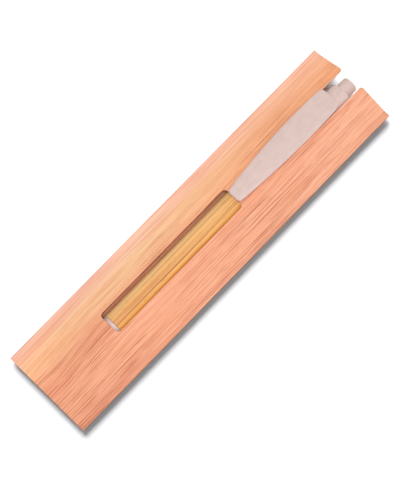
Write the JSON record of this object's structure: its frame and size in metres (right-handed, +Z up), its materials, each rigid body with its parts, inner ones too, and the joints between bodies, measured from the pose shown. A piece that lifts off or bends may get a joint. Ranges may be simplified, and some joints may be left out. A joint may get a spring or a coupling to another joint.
{
  "type": "ball pen in a wood veneer sleeve",
  "caption": "Push-button ball pen with a bamboo barrel and a broad plastic clip, held in a flat wood veneer sleeve with a long window and a thumb notch.",
  "frame": {"origin": "middle of the sleeve's footprint, on the surface that its back sheet lies on", "axes": "+X along the pen from its writing tip to its push button, which is also the way the sleeve opens; +Z up, from the back sheet to the window and the clip; +Y to the left of someone looking along +X"},
  "size_m": [0.17, 0.04, 0.0155],
  "materials": {
    "veneer": "satin, fine straight grain along the sleeve",
    "adhesive": "dried glue",
    "bamboo": "satin, fine straight fibres along the barrel",
    "straw_plastic": "fine matt moulding, pale straw fibres in it",
    "mechanism_plastic": "smooth moulding",
    "refill_plastic": "smooth, milky",
    "ink": "wet, dark blue",
    "brass": "turned",
    "steel": "drawn wire, and a ground ball"
  },
  "bodies": {
    "sleeve": {"sleeve_front": "veneer", "sleeve_back": "veneer", "glue_strip_left": "adhesive", "glue_strip_right": "adhesive", "glue_strip_end": "adhesive"},
    "pen": {"bamboo_barrel": "bamboo", "nose_bush": "mechanism_plastic", "nose_cone": "straw_plastic", "clip_collar": "straw_plastic", "cam_sleeve": "mechanism_plastic", "return_spring": "steel"},
    "clip": {"clip": "straw_plastic"},
    "button": {"push_button": "straw_plastic", "plunger": "mechanism_plastic"},
    "refill": {"refill_tube": "refill_plastic", "ink_column": "ink", "refill_tip": "brass"},
    "rotor": {"rotor": "mechanism_plastic"},
    "ball": {"writing_ball": "steel"}
  },
  "joints": [
    {"name": "pen_slide", "type": "slide", "parent": "sleeve", "child": "pen", "axis": [1, 0, 0], "range_m": [0, 0.15]},
    {"name": "button_press", "type": "slide", "parent": "pen", "child": "button", "axis": [-1, 0, 0], "range_m": [0, 0.0048]},
    {"name": "refill_advance", "type": "slide", "parent": "pen", "child": "refill", "axis": [-1, 0, 0], "range_m": [0, 0.0048], "deforming": ["return_spring"]},
    {"name": "rotor_index", "type": "hinge", "parent": "refill", "child": "rotor", "pos_m": [0.05, -0.0006, 0.0056], "axis": [1, 0, 0], "range_deg": [0, 45]},
    {"name": "clip_flex", "type": "hinge", "parent": "pen", "child": "clip", "pos_m": [0.0713, -0.0006, 0.01055], "axis": [0, 1, 0], "range_deg": [0, 4]},
    {"name": "ball_roll", "type": "hinge", "parent": "refill", "child": "ball", "pos_m": [-0.0596, -0.0006, 0.0056], "axis": [0, 1, 0], "continuous": true}
  ],
  "couplings": [
    {"joint": "refill_advance", "follows": "button_press", "ratio": 1},
    {"joint": "rotor_index", "follows": "button_press", "rad_per_m": 163.6}
  ]
}
